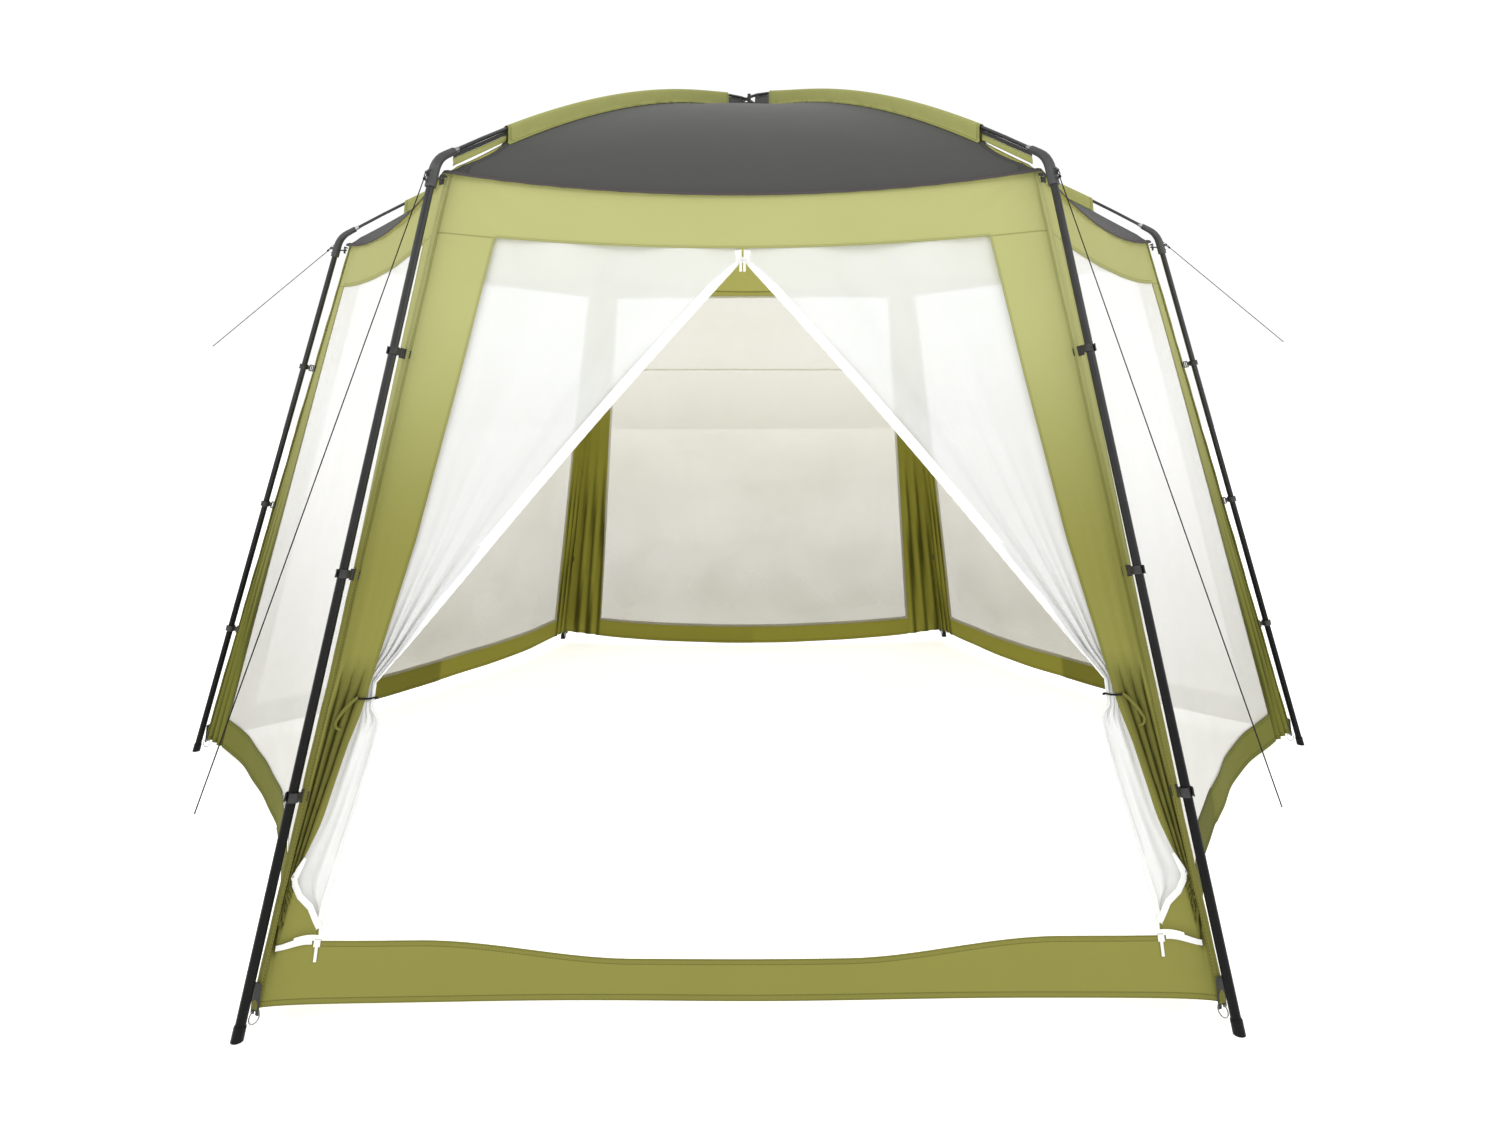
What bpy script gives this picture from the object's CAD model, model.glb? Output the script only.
"""Looks of the six-sided screen shelter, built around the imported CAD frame."""

import math

import bmesh
import bpy
import numpy as np
from mathutils import Matrix, Vector


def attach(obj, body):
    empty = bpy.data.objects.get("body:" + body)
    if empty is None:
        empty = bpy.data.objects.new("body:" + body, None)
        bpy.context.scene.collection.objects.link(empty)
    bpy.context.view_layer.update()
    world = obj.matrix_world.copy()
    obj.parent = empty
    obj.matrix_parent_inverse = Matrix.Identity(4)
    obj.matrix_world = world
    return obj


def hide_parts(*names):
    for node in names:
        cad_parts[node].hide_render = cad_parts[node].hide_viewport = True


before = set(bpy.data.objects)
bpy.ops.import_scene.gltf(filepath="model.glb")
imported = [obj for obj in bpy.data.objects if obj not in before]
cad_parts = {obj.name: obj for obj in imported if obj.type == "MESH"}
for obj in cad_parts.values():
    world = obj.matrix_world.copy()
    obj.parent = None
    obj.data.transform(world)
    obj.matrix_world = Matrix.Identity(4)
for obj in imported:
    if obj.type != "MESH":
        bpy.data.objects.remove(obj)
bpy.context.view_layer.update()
BODY = "shelter"
scene = bpy.context.scene

# ------------------------------------------------------------------ the shape
CORNERS = {"right": 0, "back_right": 60, "back_left": 120, "left": 180, "front_left": 240, "front_right": 300}
WALLS = {"back_right": 30, "back": 90, "back_left": 150, "front_left": 210, "front": 270, "front_right": 330}
C30, T30 = math.cos(math.radians(30)), math.tan(math.radians(30))
FOOT_R, LEG_SLOPE = 1.8, 0.19474
ROD_TOP, ROD_STEP, DROP, ROD_R = 2.178, 0.0113, 0.038, 0.0055
EDGE_D = 1.252
KNEE = 1.085 / C30
SEAM_SLOPE = 0.2091
SLEEVE_IN, SLEEVE_OUT = 0.160, 1.246
LEG_TILT = math.atan(LEG_SLOPE)


def smooth(t):
    t = np.clip(t, 0.0, 1.0)
    return t * t * (3 - 2 * t)


def leg_r(z):
    return FOOT_R - LEG_SLOPE * z


def seam_r(z):
    return 1.426 + SEAM_SLOPE * (1.668 - z)


def arch(r):
    r = np.asarray(r, float)
    return ROD_TOP - 0.095 * (np.sqrt(r * r + 0.01) - 0.1) - 0.16855 * r * r


ARCH_END = 1.40
END_SLOPE = 0.095 * ARCH_END / math.sqrt(ARCH_END ** 2 + 0.01) + 0.3371 * ARCH_END


def rod_z(r, k=0):
    r = np.asarray(r, float)
    z = np.where(r <= ARCH_END, arch(np.minimum(r, ARCH_END)), arch(ARCH_END) - END_SLOPE * (r - ARCH_END))
    return z + ROD_STEP * k * np.exp(-(r / 0.20) ** 2)


VR = (FOOT_R - LEG_SLOPE * (float(arch(ARCH_END)) + END_SLOPE * ARCH_END)) / (1 - LEG_SLOPE * END_SLOPE)
VZ = (FOOT_R - VR) / LEG_SLOPE
ROD_DIR = Vector((-1, 0, END_SLOPE)).normalized()
LEG_DIR = Vector((-math.sin(LEG_TILT), 0, math.cos(LEG_TILT)))


def roof_corner_z(r):
    r = np.asarray(r, float)
    end = EDGE_D / C30
    a = arch(np.minimum(r, KNEE)) - DROP
    k = float(arch(KNEE)) - DROP
    return np.where(r <= KNEE, a, k + (1.658 - k) * (r - KNEE) / (end - KNEE))


def roof_mid_z(d):
    return ROD_TOP - DROP - 0.0045 - 0.15 * d - 0.1843 * d ** 3


def edge_z(s):
    return 1.600 + 0.058 * s * s


def roof_z(d, s):
    b = s * s
    z = roof_corner_z(d / C30) * b + roof_mid_z(d) * (1 - b)
    # the last few centimetres settle onto the stitched edge
    w = smooth((d - 1.215) / (EDGE_D - 1.215))
    return z * (1 - w) + edge_z(s) * w


def roof_z_near_rod(r, y):
    """Roof height at radius r along a rod line and y to its side."""
    d = r * C30 + np.abs(y) * 0.5
    lat = r * 0.5 - np.abs(y) * C30
    return roof_z(d, np.clip(lat / np.maximum(d * T30, 1e-6), -1, 1))


GUSSET_Z = (0.145, 0.1558, 0.189, 0.206, 0.2242, 0.2337, 0.2781, 0.3168, 0.338, 0.3735, 0.4502, 0.4986, 0.532)
GUSSET_X = (0.787, 0.7880, 0.8109, 0.8335, 0.8461, 0.8496, 0.8276, 0.8119, 0.8057, 0.7977, 0.7792, 0.7636, 0.7553)


class Wall:
    def __init__(self, name, strip_top, strip_low, bow, hem_mid, skirt, skirt_mid, seed):
        self.name, self.az = name, math.radians(WALLS[name])
        self.strip_top, self.strip_low, self.bow = strip_top, strip_low, bow
        self.hem_mid, self.skirt, self.skirt_mid, self.seed = hem_mid, skirt, skirt_mid, seed
        self.m = np.array((math.cos(self.az), math.sin(self.az), 0))
        self.t = np.array((-math.sin(self.az), math.cos(self.az), 0))

    def half(self, z):
        return 0.5 * seam_r(z) - 0.0018

    def dist(self, x, z):
        s = np.minimum(1.0, np.abs(x) / self.half(z))
        fade = np.maximum(0.0, 1 - z / 1.50) ** 1.4
        return C30 * seam_r(z) - self.bow * (1 - s ** 2.4) * fade

    def edge(self, z):
        w = (z - 0.12) / 1.38
        e = self.half(z) - (self.strip_low * (1 - w) + self.strip_top * w)
        if self.name == "front":
            e = self.half(z) - np.interp(z, (0.12, 0.49, 0.83, 1.17, 1.50), (0.045, 0.070, 0.108, 0.128, 0.143))
            # below the tie the strip is pulled narrow, then widens into the corner gusset
            low = np.interp(z, GUSSET_Z, GUSSET_X)
            e = np.where(z < 0.532, low, e)
        return e

    def hem(self, s):
        dip = 0.003 * np.abs(s) ** 26
        if self.name == "front":
            return 0.040 + 0.004 * (1 - s ** 8) - dip
        return 0.040 + (self.hem_mid - 0.040) * (1 - s * s) - dip

    def skirt_z(self, x):
        if self.name == "front":
            w = smooth((np.abs(x) - 0.20) / 0.40)
            drop = 0.012 * smooth((np.abs(x) - 0.80) / 0.07)
            return self.skirt_mid + (self.skirt - self.skirt_mid) * w - drop
        s = np.minimum(1.0, np.abs(x) / 0.87)
        return self.skirt + (self.skirt_mid - self.skirt) * (1 - s * s)

    def head_z(self, x):
        s = np.minimum(1.0, np.abs(x) / 0.71)
        if self.name.startswith("back"):
            return 1.570 - 0.004 * s * s
        return 1.465 + 0.040 * s * s

    def top_z(self, s):
        return edge_z(s) - 0.004

    def fold(self, x, z):
        """Outward movement of the cloth in its soft folds; zero along the seams."""
        s = np.minimum(1.0, np.abs(x) / self.half(z))
        free = 1 - s ** 6
        q = self.seed
        n = 0.0022 * np.sin(5.1 * x + 3 * z + q) * free
        top = smooth((z - 1.42) / 0.12)
        # drag wrinkles that fan down from the upper corners
        rho = np.hypot(self.half(z) - np.abs(x), (1.655 - z) * 0.9) + 1e-4
        th = np.arctan2(self.half(z) - np.abs(x), 1.66 - z)
        n = n + 0.0030 * np.exp(-rho / 0.14) * np.sin(15 * th + q) * free
        if self.name == "front":
            n = n + 0.0018 * np.sin(9.0 * x + 1.1) * smooth((0.25 - z) / 0.2) * free
        else:
            low = smooth((0.62 - z) / 0.55)
            n = n + low * free * (0.0034 * np.sin(9.5 * x + 2.1 * q) + 0.0014 * np.sin(23 * x + q * 3.3 + 4 * z))
            n = n + top * 0.0012 * np.sin(22 * x + q) * free
        return n

    def at(self, x, z, n=0.0):
        d = self.dist(x, z) + n
        x, z, d = np.broadcast_arrays(x, z, d)
        return d[..., None] * self.m + x[..., None] * self.t + z[..., None] * np.array((0, 0, 1.0))


walls = {n: (Wall(n, .143, .045, 0.0, .044, .136, .106, 0.7) if n == "front" else
             Wall(n, .085, .165, .13, .010, .118, .090, 2.4) if n == "back" else
             Wall(n, .110 if n.startswith("front") else .085, .120, .12, .032, .120, .112,
                  {"back_right": 4.1, "back_left": 1.3,
                   "front_left": 5.2, "front_right": 3.3}[n]))
         for n in WALLS}


# --------------------------------------------------------------- mesh helpers
def build(name, verts, faces, mat, uv=None, attrs=None, angle=50, body=BODY, slot=None, replaces=(), recalc=False):
    me = bpy.data.meshes.new(name)
    me.from_pydata([tuple(map(float, v)) for v in verts], [], [tuple(map(int, f)) for f in faces])
    if recalc:
        bm = bmesh.new()
        bm.from_mesh(me)
        bmesh.ops.recalc_face_normals(bm, faces=bm.faces)
        bm.to_mesh(me)
        bm.free()
    me.shade_smooth()
    if angle:
        me.set_sharp_from_angle(angle=math.radians(angle))
    loops = np.zeros(len(me.loops), np.int32)
    me.loops.foreach_get("vertex_index", loops)
    if uv is not None:
        layer = me.uv_layers.new(name="UVMap")
        layer.data.foreach_set("uv", np.asarray(uv, np.float32)[loops].ravel())
    for key, values in (attrs or {}).items():
        a = me.attributes.new(key, "FLOAT", "POINT")
        a.data.foreach_set("value", np.asarray(values, np.float32))
    me.update()
    ob = bpy.data.objects.new(name, me)
    scene.collection.objects.link(ob)
    me.materials.append(mat)
    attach(ob, body)
    if replaces:
        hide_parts(*replaces)
    return ob


def vertex_normals(v, faces):
    n = np.zeros_like(v)
    quads = [f for f in faces if len(f) == 4]
    tris = [f for f in faces if len(f) == 3]
    if quads:
        q = np.array(quads)
        c = np.cross(v[q[:, 2]] - v[q[:, 0]], v[q[:, 3]] - v[q[:, 1]])
        for i in range(4):
            np.add.at(n, q[:, i], c)
    if tris:
        q = np.array(tris)
        c = np.cross(v[q[:, 1]] - v[q[:, 0]], v[q[:, 2]] - v[q[:, 0]])
        for i in range(3):
            np.add.at(n, q[:, i], c)
    return n / np.maximum(np.linalg.norm(n, axis=1, keepdims=True), 1e-12)


def shell(name, verts, faces, thick, mat, uv=None, attrs=None, centre=True, back_mat=None, **kw):
    """Closed cloth of the given thickness (a number or one per vertex) from a surface."""
    v = np.asarray(verts, float)
    nrm = vertex_normals(v, faces)
    th = np.broadcast_to(np.asarray(thick, float), (len(v),))[:, None]
    front = v + nrm * th * (0.5 if centre else 0.0)
    back = v - nrm * th * (0.5 if centre else 1.0)
    m = len(v)
    directed = set()
    for f in faces:
        for a, b in zip(f, f[1:] + f[:1]):
            directed.add((a, b))
    rim = [(b, a, m + a, m + b) for a, b in directed if (b, a) not in directed]
    allf = list(faces) + [tuple(m + i for i in reversed(f)) for f in faces] + sorted(rim)
    if uv is not None:
        uv = np.concatenate([uv, uv])
    attrs = {k: np.concatenate([a, a]) for k, a in (attrs or {}).items()}
    ob = build(name, np.concatenate([front, back]), allf, mat, uv, attrs, **kw)
    if back_mat:
        ob.data.materials.append(back_mat)
        for i in range(len(faces), 2 * len(faces)):
            ob.data.polygons[i].material_index = 1
    return ob


def grid_faces(rows, cols, keep=None, flip=False, close=False):
    out = []
    for i in range(rows - 1):
        for j in range(cols if close else cols - 1):
            if keep is not None and not keep(i, j):
                continue
            k = (j + 1) % cols
            f = (i * cols + j, i * cols + k, (i + 1) * cols + k, (i + 1) * cols + j)
            out.append(tuple(reversed(f)) if flip else f)
    return out


def compact(v, faces, *arrays):
    used = sorted({i for f in faces for i in f})
    index = {o: n for n, o in enumerate(used)}
    faces = [tuple(index[i] for i in f) for f in faces]
    return v[used], faces, [a[used] for a in arrays]


def tube(path, radius, n=8, squash=1.0, up=(0, 0, 1), cap=True, closed=False):
    """Verts and faces of a round or flattened tube along a path."""
    path = [Vector(p) for p in path]
    count = len(path)
    vs, fs = [], []
    up = Vector(up)
    for k, p in enumerate(path):
        if closed:
            t = path[(k + 1) % count] - path[k - 1]
        else:
            t = path[min(k + 1, count - 1)] - path[max(k - 1, 0)]
        t.normalize()
        side = t.cross(up)
        if side.length < 1e-5:
            side = t.cross(Vector((1, 0, 0)))
        side.normalize()
        top = side.cross(t).normalized()
        r = radius[k] if hasattr(radius, "__len__") else radius
        for i in range(n):
            a = 2 * math.pi * i / n
            vs.append(p + side * (r * math.cos(a)) + top * (r * squash * math.sin(a)))
    for k in range(count if closed else count - 1):
        a, b = k * n, ((k + 1) % count) * n
        for i in range(n):
            j = (i + 1) % n
            fs.append((a + i, a + j, b + j, b + i))
    if cap and not closed:
        fs.append(tuple(reversed(range(n))))
        fs.append(tuple((count - 1) * n + i for i in range(n)))
    return vs, fs


def rounded_box(matrix, lo, hi, bevel):
    """Verts and faces of a box with bevelled edges."""
    bm = bmesh.new()
    bmesh.ops.create_cube(bm, size=1.0)
    for v in bm.verts:
        v.co = Vector([lo[i] + (v.co[i] + 0.5) * (hi[i] - lo[i]) for i in range(3)])
    bmesh.ops.bevel(bm, geom=bm.edges[:], offset=bevel, segments=2, profile=0.6, affect="EDGES")
    bm.verts.ensure_lookup_table()
    vs = [matrix @ v.co for v in bm.verts]
    fs = [tuple(v.index for v in f.verts) for f in bm.faces]
    bm.free()
    return vs, fs


def join(parts):
    vs, fs = [], []
    for v, f in parts:
        o = len(vs)
        vs += [Vector(p) for p in v]
        fs += [tuple(o + i for i in q) for q in f]
    return vs, fs


def turned(az):
    return Matrix.Rotation(math.radians(az), 4, "Z")


# ------------------------------------------------------------------ materials
class Nodes:
    """Short way to write a node tree."""

    def __init__(self, name):
        self.mat = bpy.data.materials.new(name)
        self.mat.use_nodes = True
        self.nt = self.mat.node_tree
        self.bsdf = self.nt.nodes["Principled BSDF"]

    def add(self, kind, **inputs):
        n = self.nt.nodes.new("ShaderNode" + kind)
        for key, value in inputs.items():
            if key.startswith("_"):
                setattr(n, key[1:], value)
            else:
                self.put(n.inputs[int(key[1:])] if key[0] == "i" and key[1:].isdigit() else n.inputs[key.replace("__", " ")], value)
        return n

    def put(self, socket, value):
        if isinstance(value, bpy.types.NodeSocket):
            self.nt.links.new(value, socket)
        else:
            socket.default_value = value

    def math(self, op, a, b=0.0, c=None):
        n = self.add("Math", _operation=op, i0=a, i1=b)
        if c is not None:
            self.put(n.inputs[2], c)
        return n.outputs[0]

    def attr(self, name):
        return self.add("Attribute", _attribute_name=name).outputs["Fac"]

    def noise(self, coord, scale, detail=2.0, rough=0.5):
        return self.add("TexNoise", Vector=coord, Scale=scale, Detail=detail, Roughness=rough).outputs["Fac"]

    def remap(self, x, a, b, lo, hi, kind="LINEAR"):
        return self.add("MapRange", _interpolation_type=kind, i0=x, i1=a, i2=b, i3=lo, i4=hi).outputs[0]

    def mix(self, fac, a, b, blend="MIX"):
        n = self.nt.nodes.new("ShaderNodeMix")
        n.data_type, n.blend_type = "RGBA", blend
        self.put(n.inputs[0], fac)
        for s, v in ((n.inputs[6], a), (n.inputs[7], b)):
            self.put(s, (*v, 1.0) if isinstance(v, tuple) and len(v) == 3 else v)
        return n.outputs[2]

    def bump(self, height, distance, strength=1.0, normal=None):
        n = self.add("Bump", Height=height, Distance=distance, Strength=strength)
        if normal is not None:
            self.put(n.inputs["Normal"], normal)
        return n.outputs["Normal"]

    def done(self, **inputs):
        for key, value in inputs.items():
            self.put(self.bsdf.inputs[key.replace("__", " ")], value)
        return self.mat


def srgb(r, g, b):
    return tuple(((c / 255) / 12.92 if c / 255 <= 0.04045 else ((c / 255 + 0.055) / 1.055) ** 2.4) for c in (r, g, b))


def cloth_material(name, high, low, z_high, z_low, hem_dark=0.80, rough=0.82, weave=0.0011, wrinkle=0.0022, sheen=0.0):
    """Woven coated polyester: colour falls from high to low with height, hems are doubled
    cloth with two rows of stitches, the weave runs along the panel."""
    N = Nodes(name)
    pos = N.add("NewGeometry").outputs["Position"]
    z = N.add("SeparateXYZ", i0=pos).outputs[2]
    uv = N.add("UVMap", _uv_map="UVMap").outputs[0]
    sep = N.add("SeparateXYZ", i0=uv)
    u, v = sep.outputs[0], sep.outputs[1]
    fall = N.remap(z, z_low, z_high, 0.0, 1.0, "SMOOTHSTEP")
    base = N.mix(fall, low, high)
    cloud = N.noise(pos, 2.3, 3.0, 0.55)
    base = N.mix(N.remap(cloud, 0.3, 0.7, 0.0, 0.16), base, N.mix(1.0, base, (0.72, 0.72, 0.66), "MULTIPLY"))
    base = N.mix(N.math("MULTIPLY", N.attr("occ"), 0.92), base, N.mix(1.0, base, (0.16, 0.16, 0.08), "MULTIPLY"))
    de = N.attr("de")
    hem = N.remap(de, 0.0165, 0.0185, 1.0, 0.0)
    base = N.mix(N.math("MULTIPLY", hem, 1 - hem_dark), base, N.mix(1.0, base, (0.35, 0.35, 0.25), "MULTIPLY"))
    line = N.remap(N.attr("sd"), 0.0475, 0.0488, 0.0, 1.0)
    base = N.mix(N.math("MULTIPLY", line, 0.45), base, N.mix(1.0, base, (0.30, 0.30, 0.22), "MULTIPLY"))
    # two rows of lock stitch, 2.8 mm a stitch, in a slight groove
    run = N.math("ADD", u, v)
    dash = N.remap(N.math("SINE", N.math("MULTIPLY", run, 2 * math.pi / 0.0056)), -0.35, 0.0, 0.0, 1.0)
    row1 = N.remap(N.math("ABSOLUTE", N.math("SUBTRACT", de, 0.0155)), 0.0007, 0.0013, 1.0, 0.0)
    row2 = N.remap(N.math("ABSOLUTE", N.math("SUBTRACT", de, 0.0025)), 0.0006, 0.0011, 1.0, 0.0)
    rows = N.math("MAXIMUM", row1, row2)
    thread = N.math("MULTIPLY", rows, dash)
    base = N.mix(N.math("MULTIPLY", thread, 0.55), base, N.mix(1.0, base, (0.30, 0.30, 0.22), "MULTIPLY"))
    # plain weave
    wu = N.math("SINE", N.math("MULTIPLY", u, 2 * math.pi / weave))
    wv = N.math("SINE", N.math("MULTIPLY", v, 2 * math.pi / weave))
    wv2 = N.math("SINE", N.math("MULTIPLY", v, math.pi / weave))
    plain = N.math("MULTIPLY", N.math("MULTIPLY", wu, wv), N.remap(wv2, -1, 1, 0.7, 1.0))
    yarn = N.noise(uv, 420.0, 2.0, 0.6)
    base = N.mix(N.remap(plain, -1, 1, 0.0, 0.06), base, (0.02, 0.02, 0.01))
    soft = N.noise(pos, 7.5, 3.0, 0.5)
    crease = N.add("TexNoise", Vector=pos, Scale=17.0, Detail=2.0, Distortion=0.6).outputs["Fac"]
    n1 = N.bump(soft, wrinkle * 4, 0.35)
    n2 = N.bump(crease, wrinkle, 0.30, n1)
    n3 = N.bump(rows, -0.0006, 0.8, n2)
    n4 = N.bump(N.math("ADD", plain, N.math("MULTIPLY", yarn, 0.8)), 0.00010, 0.35, n3)
    return N.done(Base__Color=base, Roughness=N.remap(yarn, 0.3, 0.7, rough - 0.06, rough + 0.07), Normal=n4,
                  Sheen__Weight=sheen, Sheen__Roughness=0.5, Specular__IOR__Level=0.10)


def net_material(name, high, low, z_high, z_low, cover=0.55, cover_high=0.5):
    """No-see-um netting: fine square mesh, read as a white veil."""
    N = Nodes(name)
    pos = N.add("NewGeometry").outputs["Position"]
    z = N.add("SeparateXYZ", i0=pos).outputs[2]
    uv = N.add("UVMap", _uv_map="UVMap").outputs[0]
    sep = N.add("SeparateXYZ", i0=uv)
    u, v = sep.outputs[0], sep.outputs[1]
    fall = N.remap(z, z_low, z_high, 0.0, 1.0, "SMOOTHSTEP")
    base = N.mix(fall, low, high)
    de = N.attr("de")
    border = N.remap(de, 0.004, 0.0045, 1.0, 0.0)
    cu = N.remap(N.math("SINE", N.math("MULTIPLY", u, 2 * math.pi / 0.0016)), 0.0, 0.8, 0.0, 1.0)
    cv = N.remap(N.math("SINE", N.math("MULTIPLY", v, 2 * math.pi / 0.0016)), 0.0, 0.8, 0.0, 1.0)
    mesh = N.math("MAXIMUM", cu, cv)
    cloud = N.noise(pos, 3.1, 2.0, 0.5)
    thin = N.remap(z, 0.95, 1.45, cover, cover_high, "SMOOTHSTEP")
    alpha = N.math("ADD", N.math("ADD", thin, N.remap(cloud, 0.3, 0.7, -0.03, 0.03)), N.remap(mesh, 0, 1, -0.07, 0.07))
    dense = N.attr("dense")
    alpha = N.math("ADD", alpha, N.math("MULTIPLY", dense, 0.25))
    alpha = N.math("MAXIMUM", alpha, N.math("MULTIPLY", border, 0.97))
    n1 = N.bump(N.noise(pos, 9.0, 3.0, 0.5), 0.006, 0.35)
    n2 = N.bump(mesh, 0.0002, 0.25, n1)
    return N.done(Base__Color=base, Roughness=0.85, Alpha=alpha, Normal=n2, Specular__IOR__Level=0.1,
                  Sheen__Weight=0.1)


def white_tape_material(name):
    """White zip tape: herringbone weave with the coil's ridges along its edge."""
    N = Nodes(name)
    pos = N.add("NewGeometry").outputs["Position"]
    uv = N.add("UVMap", _uv_map="UVMap").outputs[0]
    sep = N.add("SeparateXYZ", i0=uv)
    u, v = sep.outputs[0], sep.outputs[1]
    zig = N.math("PINGPONG", u, 0.0025)
    her = N.math("SINE", N.math("MULTIPLY", N.math("ADD", v, zig), 2 * math.pi / 0.0016))
    cloud = N.noise(pos, 12.0, 3.0, 0.6)
    base = N.mix(N.remap(her, -1, 1, 0.0, 0.10), (0.90, 0.90, 0.88), (0.70, 0.70, 0.68))
    base = N.mix(N.remap(cloud, 0.4, 0.75, 0.0, 0.12), base, (0.74, 0.73, 0.70))
    n1 = N.bump(her, 0.0002, 0.4)
    return N.done(Base__Color=base, Roughness=0.62, Normal=n1, Specular__IOR__Level=0.3)


def webbing_material(name, tone=(0.020, 0.019, 0.018)):
    """Ribbed polypropylene webbing."""
    N = Nodes(name)
    co = N.add("TexCoord").outputs["Object"]
    w1 = N.add("TexWave", _wave_type="BANDS", _bands_direction="DIAGONAL", Vector=co, Scale=260.0, Distortion=0.6).outputs["Fac"]
    w2 = N.add("TexWave", _wave_type="BANDS", _bands_direction="Z", Vector=co, Scale=180.0, Distortion=0.4).outputs["Fac"]
    pick = N.math("MULTIPLY", w1, w2)
    fuzz = N.noise(co, 900.0, 3.0, 0.7)
    base = N.mix(N.remap(pick, 0, 1, 0.0, 0.65), tone, tuple(min(1, c * 3.4 + 0.012) for c in tone))
    n1 = N.bump(N.math("ADD", pick, N.math("MULTIPLY", fuzz, 0.4)), 0.0004, 0.6)
    return N.done(Base__Color=base, Roughness=N.remap(fuzz, 0.3, 0.7, 0.66, 0.86), Normal=n1, Sheen__Weight=0.2)


def powder_coat_material(name, tone=(0.014, 0.014, 0.015)):
    """Black powder coat on steel tube: orange peel, faint dust, scuffs."""
    N = Nodes(name)
    co = N.add("TexCoord").outputs["Object"]
    peel = N.add("TexVoronoi", Vector=co, Scale=900.0).outputs["Distance"]
    dust = N.noise(co, 14.0, 5.0, 0.65)
    scuff = N.add("TexNoise", Vector=co, Scale=55.0, Detail=6.0, Roughness=0.75, Distortion=1.4).outputs["Fac"]
    base = N.mix(N.remap(dust, 0.45, 0.75, 0.0, 0.35), tone, (0.045, 0.045, 0.048))
    base = N.mix(N.remap(scuff, 0.68, 0.78, 0.0, 0.5), base, (0.10, 0.10, 0.11))
    n1 = N.bump(peel, 0.0002, 0.35)
    z = N.add("SeparateXYZ", i0=N.add("NewGeometry").outputs["Position"]).outputs[2]
    base = N.mix(N.remap(z, 0.35, 1.3, 0.72, 0.0, "SMOOTHSTEP"), base, (0.004, 0.004, 0.004))
    return N.done(Base__Color=base, Roughness=N.remap(dust, 0.3, 0.75, 0.32, 0.50), Normal=n1,
                  Specular__IOR__Level=N.remap(z, 0.3, 1.4, 0.10, 0.40, "SMOOTHSTEP"),
                  Coat__Weight=N.remap(z, 0.5, 1.5, 0.0, 0.30, "SMOOTHSTEP"), Coat__Roughness=0.12)


def rod_material(name):
    """Black pultruded glass fibre rod: long fine grain and a soft gloss."""
    N = Nodes(name)
    co = N.add("TexCoord").outputs["Object"]
    grain = N.noise(co, 160.0, 4.0, 0.7)
    cloud = N.noise(co, 9.0, 3.0, 0.5)
    base = N.mix(N.remap(grain, 0.35, 0.7, 0.0, 0.5), (0.013, 0.013, 0.014), (0.055, 0.055, 0.058))
    base = N.mix(N.remap(cloud, 0.5, 0.8, 0.0, 0.3), base, (0.09, 0.09, 0.095))
    return N.done(Base__Color=base, Roughness=N.remap(grain, 0.3, 0.7, 0.26, 0.42),
                  Normal=N.bump(grain, 0.0002, 0.4), Coat__Weight=0.3, Coat__Roughness=0.2)


def plastic_material(name, tone, rough=0.5, grain=1400.0):
    """Moulded plastic with a fine spark-eroded texture."""
    N = Nodes(name)
    co = N.add("TexCoord").outputs["Object"]
    fine = N.noise(co, grain, 3.0, 0.6)
    flow = N.noise(co, 34.0, 3.0, 0.55)
    lift = tuple(min(1.0, c * 1.5 + 0.01) for c in tone)
    base = N.mix(N.remap(flow, 0.4, 0.75, 0.0, 0.55), tone, lift)
    base = N.mix(N.remap(fine, 0.45, 0.8, 0.0, 0.25), base, lift)
    return N.done(Base__Color=base, Roughness=N.remap(fine, 0.3, 0.7, rough - 0.08, rough + 0.1),
                  Normal=N.bump(fine, 0.00012, 0.4), Specular__IOR__Level=0.45)


def steel_material(name):
    """Bright plated steel wire with fine drawing marks."""
    N = Nodes(name)
    co = N.add("TexCoord").outputs["Object"]
    mark = N.noise(co, 700.0, 4.0, 0.7)
    cloud = N.noise(co, 60.0, 3.0, 0.5)
    base = N.mix(N.remap(cloud, 0.4, 0.7, 0.0, 0.5), (0.50, 0.50, 0.50), (0.26, 0.26, 0.27))
    return N.done(Base__Color=base, Metallic=1.0, Roughness=N.remap(mark, 0.3, 0.7, 0.16, 0.34),
                  Normal=N.bump(mark, 0.00008, 0.4))


def cord_material(name):
    """Black braided cord."""
    N = Nodes(name)
    co = N.add("TexCoord").outputs["Object"]
    a = N.add("TexWave", _wave_type="BANDS", _bands_direction="DIAGONAL", Vector=co, Scale=420.0, Distortion=1.0).outputs["Fac"]
    fuzz = N.noise(co, 1200.0, 2.0, 0.6)
    base = N.mix(N.remap(a, 0, 1, 0.0, 0.6), (0.006, 0.006, 0.007), (0.026, 0.026, 0.025))
    return N.done(Base__Color=base, Roughness=0.78, Normal=N.bump(N.math("ADD", a, fuzz), 0.0004, 0.6), Specular__IOR__Level=0.2)


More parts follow.
